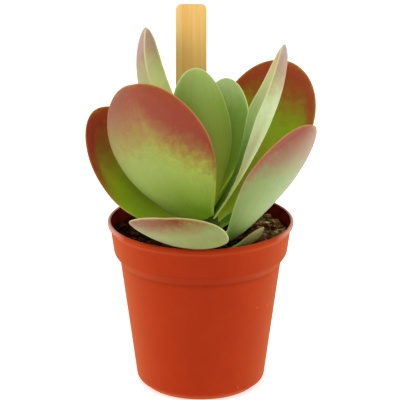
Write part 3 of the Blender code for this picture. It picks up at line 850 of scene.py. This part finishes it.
# %% [markdown]
# The skin of a paddle leaf is living cuticle with a powder of wax on it. It is green where it is
# shaded and deep red where the sun reached it, at the end and along the rim, and between the two
# the red breaks up into fine speckles. So each point has a ripeness, 0 at the root and about 1 at
# the tip, which three patterns make uneven, and the colours follow that.

# %% How ripe a point of the leaf is
SPECKLE_MM = 1.2              # real speckles are a few tenths of a millimetre, drawn coarser
SPECKLE_SHARE, MOTTLE_SHARE, STREAK_SHARE = 0.45, 0.8, 0.5     # of the flush's uneven edge


def ripeness(tree, place, veins, mottle, across, along, rim_mm, lean, rim_flush, ragged):
    """ragged is how uneven the flush's edge is. lean draws the tip's colours down the blade's two
    sides (across = -1 and 1) by a share of the length, and rim_flush draws them down the rim, by a
    share and over a width in millimetres."""
    speckle = add(tree, "TexNoise", {"Vector": place, "Scale": 1 / (SPECKLE_MM * MM)})
    patterns = (speckle, SPECKLE_SHARE), (mottle, MOTTLE_SHARE), (veins, STREAK_SHARE)
    ripe = along
    for pattern, share in patterns:
        ripe = add(tree, "Math", {0: pattern, 1: ragged * share, 2: ripe},
                   operation="MULTIPLY_ADD")
    middle = ragged * sum(share for _, share in patterns) / 2
    ripe = add(tree, "Math", {0: ripe, 1: middle}, operation="SUBTRACT")
    flush, flush_width = rim_flush
    for measure, start, end, push in (
            (across, 0.0, -1.0, lean[0]), (across, 0.0, 1.0, lean[1]),
            (rim_mm, flush_width, 0.0, flush)):
        more = add(tree, "MapRange", {
            "Value": measure, "From Min": start, "From Max": end, "To Max": push})
        ripe = add(tree, "Math", {0: ripe, 1: more}, operation="ADD")
    return ripe


# %% [markdown]
# Light coming through the thinner green flesh at the blade's sides is painted into its colour:
# there the green is made brighter. A side can also be given painted shade. The red flush stops that
# painted light.

# %% Painted light and shade through the flesh
GLOW_FULL, GLOW_END = 0.65, 0.85         # the flush stops the painted light from this ripeness on


def lit_through(tree, colour, across, ripe, glow):
    """glow is the painted light, how much brighter the green is towards the two sides (across = -1
    and
    1), or, where it is below 0, the painted shade, how much duller all of a side is."""
    green = add(tree, "MapRange", {"Value": ripe, "From Min": GLOW_END, "From Max": GLOW_FULL})
    for gain, end in zip(glow, (-1.0, 1.0)):
        side = add(tree, "MapRange", {"Value": across, "From Max": end, "To Max": gain})
        light = add(tree, "Math", {0: side, 1: green if gain > 0 else 1.0, 2: 1.0},
                    operation="MULTIPLY_ADD")
        colour = add(tree, "VectorMath", {0: colour, 1: light}, operation="MULTIPLY")
    return colour


# %% [markdown]
# A powder of wax lies on the skin in patches and greys its colours. The rim itself is a thin line
# in a colour of its own, most often a pale one.

# %% Wax powder and the rim's line
POWDER = "#CDD6C2"
RIM_LINE_MM, RIM_LINE_SHARE = 0.8, 0.65  # its width, and how much it covers
RIM_FADE = 0.3                # share of the length over which the rim's line fades in


def powdered(tree, colour, across, mottle, powder):
    """powder is the wax bloom in the middle and how much it gains towards across = 1."""
    patch = add(tree, "MapRange", {
        "Value": mottle, "From Min": 0.3, "From Max": 0.7, "To Min": 0.7, "To Max": 1.3})
    side = add(tree, "Math", {0: across, 1: powder[1], 2: powder[0]},
               operation="MULTIPLY_ADD", use_clamp=True)
    wax = add(tree, "Math", {0: patch, 1: side}, operation="MULTIPLY")
    return add(tree, "Mix", {0: wax, 6: colour, 7: paint(POWDER)}, data_type="RGBA")


def rimmed(tree, colour, along, rim_mm, rim, rim_from):
    """The line fades in from the share of the length that rim_from gives."""
    line = add(tree, "MapRange", {
        "Value": rim_mm, "From Min": RIM_LINE_MM, "From Max": 0.3 * RIM_LINE_MM,
        "To Max": RIM_LINE_SHARE})
    fade = add(tree, "MapRange", {
        "Value": along, "From Min": rim_from, "From Max": rim_from + RIM_FADE})
    shown = add(tree, "Math", {0: line, 1: fade}, operation="MULTIPLY")
    return add(tree, "Mix", {0: shown, 6: colour, 7: paint(rim)}, data_type="RGBA")


# %% [markdown]
# Now the skin itself. Faint veins run from the root and fan out with the blade, so they are drawn
# fine across it and long along it. Light goes a little way into the flesh, and the powder catches
# light at the leaf's edge, which the sheen stands for.

# %% Living leaf skin
MOTTLE_MM = 4.0
VEINS_ACROSS, VEINS_ALONG = 17.0, 2.6
POWDER_MM = 0.6               # wax crystals are far finer, drawn coarser so that they show


def leaf_skin(name, outer, inner, rim, lean=(0.0, 0.0), rim_flush=(0.0, 8.0),
              powder=(0.0, 0.0), glow=(0.0, 0.0), ragged=0.14, rim_from=0.2):
    """outer and inner are the ramps of colour over ripeness for the leaf's two faces."""
    skin, tree, shader = new_material(
        "waxy leaf skin " + name, Roughness=0.5, IOR=1.45, Specular_IOR_Level=0.25,
        Subsurface_Weight=0.4, Subsurface_Scale=6 * MM, Subsurface_Radius=(0.6, 1.0, 0.3),
        Sheen_Weight=0.03, Sheen_Roughness=0.45, Sheen_Tint=paint("#F3EFE8"))
    place = add(tree, "TexCoord").outputs["Object"]
    blade = add(tree, "Attribute", attribute_name="blade").outputs["Vector"]
    rim_mm = add(tree, "Attribute", attribute_name="rim_mm").outputs["Fac"]
    across, along, face = add(tree, "SeparateXYZ", {0: blade}).outputs
    fan = add(tree, "Mapping", {"Vector": blade, "Scale": (VEINS_ACROSS, VEINS_ALONG, 0.0)})
    veins = add(tree, "TexNoise", {"Vector": fan, "Scale": 1.0, "Detail": 3.0, "Roughness": 0.6})
    mottle = add(tree, "TexNoise", {"Vector": place, "Scale": 1 / (MOTTLE_MM * MM)})

    ripe = ripeness(tree, place, veins, mottle, across, along, rim_mm, lean, rim_flush, ragged)
    outer_colour, inner_colour = (
        add(tree, "ValToRGB", {"Fac": ripe}, stops=ramp) for ramp in (outer, inner))
    flushed = add(tree, "Mix", {0: face, 6: outer_colour, 7: inner_colour}, data_type="RGBA")
    vein = add(tree, "MapRange", {
        "Value": veins, "From Min": 0.3, "From Max": 0.7, "To Min": 0.95, "To Max": 1.05})
    colour = add(tree, "VectorMath", {0: flushed, 1: vein}, operation="MULTIPLY")
    colour = lit_through(tree, colour, across, ripe, glow)
    colour = powdered(tree, colour, across, mottle, powder)
    colour = rimmed(tree, colour, along, rim_mm, rim, rim_from)
    feed(shader.inputs["Base Color"], colour)

    powder_grain = add(tree, "TexNoise", {"Vector": place, "Scale": 1 / (POWDER_MM * MM)})
    relief = add(tree, "Math", {0: veins, 1: 1.5, 2: powder_grain}, operation="MULTIPLY_ADD")
    bump = add(tree, "Bump", {"Height": relief, "Strength": 0.2, "Distance": 0.08 * MM})
    feed(shader.inputs["Normal"], bump)
    return skin


# %% [markdown]
# Each leaf has its own age and its own place in the sun, so each has its own colours: a ramp for
# the outer face and one for the inner face, from the root to the tip. For the faces that the photo
# shows, a program compared the render with the photo and worked out most of the colours. Some were
# then changed.

# %% The reddened leaves
ORANGE_RIM, PALE_RIM, DARK_RIM = "#C07C3E", "#D0D898", "#A4603C"

# painted light: several ramps start brighter at the root than further up, because the roots lie in
# shade
FLUSHES = {
    "left_front": dict(
        outer=[(0.1, "#BAD62E"), (0.25, "#99BC32"), (0.42, "#ACC550"), (0.56, "#ADBF5C"),
               (0.66, "#A7B350"), (0.76, "#A4903E"), (0.85, "#A26B36"), (0.95, "#9D4229")],
        inner=[(0.1, "#6F9420"), (0.6, "#86A834"), (0.75, "#A07838"), (0.9, "#92381A")],
        rim=ORANGE_RIM, lean=(0.31, 0.035), rim_flush=(0.08, 3.0),
        # painted light on the green towards across = -1, painted shade over all of the side at
        # across = 1
        ragged=0.2, powder=(0.04, 0.04), glow=(0.7, -0.32)),
    "left_back": dict(
        outer=[(0.1, "#7A9A2A"), (0.5, "#94AC52"), (0.7, "#A39A50"), (0.85, "#9D543C")],
        inner=[(0.1, "#A8BE28"), (0.5, "#8DA91A"), (0.64, "#92A80F"), (0.74, "#968C18"),
               (0.84, "#905E13"), (0.95, "#9D3013")],
        rim=DARK_RIM, lean=(0.04, 0.0), rim_flush=(0.16, 7.0), rim_from=0.4),
    "right_back": dict(
        outer=[(0.1, "#7A9A2A"), (0.5, "#94AC52"), (0.7, "#A39A50"), (0.9, "#9D543C")],
        inner=[(0.1, "#96B424"), (0.55, "#A2A824"), (0.68, "#8FAA0C"), (0.77, "#8F8E08"),
               (0.85, "#985F0E"), (0.92, "#983F15"), (0.98, "#9C381A")],
        rim=DARK_RIM, lean=(0.06, 0.0), rim_flush=(0.16, 7.0), rim_from=0.4),
    "right_front": dict(
        outer=[(0.1, "#7E9A38"), (0.4, "#90B848"), (0.6, "#96AC64"), (0.8, "#96A66A"),
               (0.9, "#9F805E"), (1.0, "#A25B50")],
        inner=[(0.1, "#5E8020"), (0.7, "#749028"), (0.9, "#963C20")],
        rim=ORANGE_RIM, lean=(0.04, 0.1), rim_flush=(0.1, 4.0), powder=(0.14, -0.22),
        rim_from=0.55),
}
print("reddened leaves:", list(FLUSHES))

# %% The low leaves
SHADED = [(0.1, "#6F9420"), (0.7, "#86A834"), (0.95, "#9D543C")]     # both faces are alike

FLUSHES |= {
    "low_front": dict(
        outer=[(0.1, "#8CA258"), (0.65, "#848E52"), (0.78, "#899458"), (0.87, "#8B7A44"),
               (0.95, "#803E10")],
        inner=[(0.1, "#7C9A34"), (0.8, "#869638"), (0.95, "#96603A")],
        rim="#C0B280", lean=(-0.06, 0.08), powder=(0.04, 0.1)),
    "low_back": dict(outer=SHADED, inner=SHADED, rim=PALE_RIM),
    "low_right": dict(
        outer=[(0.1, "#7E8E50"), (0.4, "#968E4C"), (0.65, "#8C8250"), (0.95, "#948464")],
        inner=[(0.1, "#6E803A"), (0.6, "#84884A"), (0.95, "#8E7650")],
        rim="#A8A070"),
}
print("with the low leaves:", len(FLUSHES))

# %% The upright leaves in the middle
# painted light: the pale inner faces of the two upright leaves stand for light coming through the
# blades, and the near-white roots of right_upright and the bright root of centre_front are
# brightened where they lie in shade
FLUSHES |= {
    "left_upright": dict(
        outer=[(0.1, "#6F8A3A"), (0.5, "#98A968"), (0.68, "#AEAD78"), (0.8, "#A98873"),
               (0.9, "#B48F88"), (1.0, "#B2908A")],
        inner=[(0.1, "#A0BC58"), (0.5, "#CCD484"), (0.66, "#DCDAA2"), (0.76, "#CCC892"),
               (0.86, "#C2A688"), (0.96, "#B48C8C")],
        rim=PALE_RIM),
    "right_upright": dict(
        outer=[(0.1, "#FCFFA0"), (0.3, "#F8FFC4"), (0.48, "#D6E8AE"), (0.58, "#CCD9A8"),
               (0.68, "#B8B384"), (0.78, "#AE9478"), (0.88, "#B29688"), (0.97, "#B6A6A6")],
        inner=[(0.1, "#5F8218"), (0.3, "#7FA444"), (0.45, "#B2CA7A"), (0.58, "#C8D29A"),
               (0.72, "#D4D29C"), (0.86, "#D6B89C"), (0.96, "#CCAEA0")],
        rim=PALE_RIM),
    "centre_front": dict(
        outer=[(0.1, "#D0E446"), (0.4, "#A3B93E"), (0.6, "#94A93A"), (0.78, "#8FA740"),
               (0.9, "#95AC53"), (1.0, "#9CAC5C")],
        inner=[(0.1, "#6E9020"), (0.6, "#84A438"), (0.95, "#96B054")],
        rim=PALE_RIM, powder=(0.02, 0.0)),
    "centre_back": dict(
        outer=[(0.1, "#6E9020"), (0.5, "#7E9E30"), (0.97, "#96B054")],
        inner=[(0.1, "#9CB222"), (0.4, "#849E20"), (0.6, "#81A02E"), (0.75, "#8AAA40"),
               (0.85, "#A0BA5E"), (0.95, "#B6C886")],
        rim=PALE_RIM, powder=(0.02, 0.0)),
}
print("with the upright leaves:", len(FLUSHES))

# %% Dress the leaves
SLOTS = {
    "leaf_grey_green": ("low_front", "low_right", "right_front"),
    "leaf_deep_green": ("low_back", "centre_front", "centre_back"),
    "leaf_red_flushed": ("left_back", "left_front", "right_back"),
    "leaf_pale_green": ("left_upright", "right_upright"),
}
for name, leaf in leaves.items():
    slot = next(slot for slot, names in SLOTS.items() if name in names)
    hand_over(leaf, leaf_skin(name, **FLUSHES[name]), slot, "leaf_" + name)

# %% [markdown]
# ## The label
# A plain wooden plant label, planed from birch, round at the top corners and pointed below. A cube
# is scaled to size, its lower face is drawn down to the point, and a fine bevel breaks its edges as
# sandpaper does.

# %% Wooden label
LABEL_X, LABEL_Y = -5.3, 18.5
LABEL_WIDTH, LABEL_THICKNESS, LABEL_TOP_Z, LABEL_LENGTH = 17.3, 1.8, 217.5, 180.0
LABEL_POINT, LABEL_POINT_SHARE = 22.0, 0.3
LABEL_CORNER, LABEL_EDGE = 3.2, 0.3      # rounding of the corners, and bevel of the edges
LABEL_SHARP_DEGREES, LABEL_SMOOTH_DEGREES = 40, 35
SAME_PLACE = 1e-6             # in metres, nearer than this is the same place

shaft = LABEL_LENGTH - LABEL_POINT
bpy.ops.object.select_all(action="DESELECT")
bpy.ops.mesh.primitive_cube_add(
    size=1.0, location=(LABEL_X * MM, LABEL_Y * MM, (LABEL_TOP_Z - shaft / 2) * MM),
    scale=(LABEL_WIDTH * MM, LABEL_THICKNESS * MM, shaft * MM))
label = bpy.context.object
label.name = label.data.name = "wooden_label"
bpy.ops.object.transform_apply(location=True, scale=True)
bpy.ops.object.mode_set(mode="EDIT")
bpy.ops.mesh.select_mode(type="FACE")
bpy.ops.mesh.select_all(action="DESELECT")
mesh = bmesh.from_edit_mesh(label.data)
for face in mesh.faces:
    face.select = face.normal.z < -0.9
bmesh.update_edit_mesh(label.data)
bpy.ops.mesh.extrude_region_move(TRANSFORM_OT_translate={"value": (0, 0, -LABEL_POINT * MM)})
bpy.ops.transform.resize(
    value=(LABEL_POINT_SHARE, 1.0, 1.0),
    center_override=(LABEL_X * MM, LABEL_Y * MM, (LABEL_TOP_Z - LABEL_LENGTH) * MM))
bpy.ops.mesh.select_mode(type="EDGE")
bpy.ops.mesh.select_all(action="DESELECT")
mesh = bmesh.from_edit_mesh(label.data)
for edge in mesh.edges:
    a, b = edge.verts        # the two short edges at the top corners
    at_top = min(a.co.z, b.co.z) > (LABEL_TOP_Z - 0.1) * MM
    edge.select = at_top and abs(a.co.x - b.co.x) < SAME_PLACE
bmesh.update_edit_mesh(label.data)
bpy.ops.mesh.bevel(offset=LABEL_CORNER * MM, segments=6, affect="EDGES")
bpy.ops.object.mode_set(mode="OBJECT")
softened = label.modifiers.new("sanded edges", "BEVEL")
softened.width, softened.segments = LABEL_EDGE * MM, 3
softened.limit_method, softened.angle_limit = "ANGLE", math.radians(LABEL_SHARP_DEGREES)
apply_modifiers(label)
bpy.ops.object.shade_smooth_by_angle(angle=math.radians(LABEL_SMOOTH_DEGREES))
print("label:", LABEL_WIDTH, "mm wide,", LABEL_LENGTH, "mm long")

# %% [markdown]
# The grain runs along the label. Bands of early and late wood give its broad stripes, and fibres
# its fine ones, so both patterns are stretched along Z. Planed wood that nobody varnished is matt
# and a little rough to the touch.

# %% Planed pale wood
WOOD_LIGHT, WOOD_GOLD, WOOD_DARK = "#FACE7C", "#F5C56C", "#F2BF64"
BAND_MM, BAND_LENGTH_MM = 4.0, 166.7
FIBRE_MM, FIBRE_LENGTH_MM = 0.6, 30.0    # real fibres are finer still, drawn so that they show

wood, tree, shader = new_material("planed birch", Roughness=0.62, IOR=1.5)
place = add(tree, "TexCoord").outputs["Object"]
band_stretch = add(tree, "Mapping", {
    "Vector": place,
    "Scale": (1 / (BAND_MM * MM), 1 / (BAND_MM * MM), 1 / (BAND_LENGTH_MM * MM))})
bands = add(tree, "TexNoise", {"Vector": band_stretch, "Scale": 1.0})
fibre_stretch = add(tree, "Mapping", {
    "Vector": place,
    "Scale": (1 / (FIBRE_MM * MM), 1 / (FIBRE_MM * MM), 1 / (FIBRE_LENGTH_MM * MM))})
fibres = add(tree, "TexNoise", {"Vector": fibre_stretch, "Scale": 1.0, "Detail": 3.0})
grain = add(tree, "Math", {0: fibres, 1: 0.5, 2: bands}, operation="MULTIPLY_ADD")
wood_colour = add(tree, "ValToRGB", {"Fac": grain}, stops=[
    (0.6, WOOD_DARK), (0.75, WOOD_GOLD), (0.88, WOOD_LIGHT)])
feed(shader.inputs["Base Color"], wood_colour)
fibre_bump = add(tree, "Bump", {"Height": fibres, "Strength": 0.3, "Distance": 0.1 * MM})
feed(shader.inputs["Normal"], fibre_bump)
hand_over(label, wood, "label_wood", "label_stake")
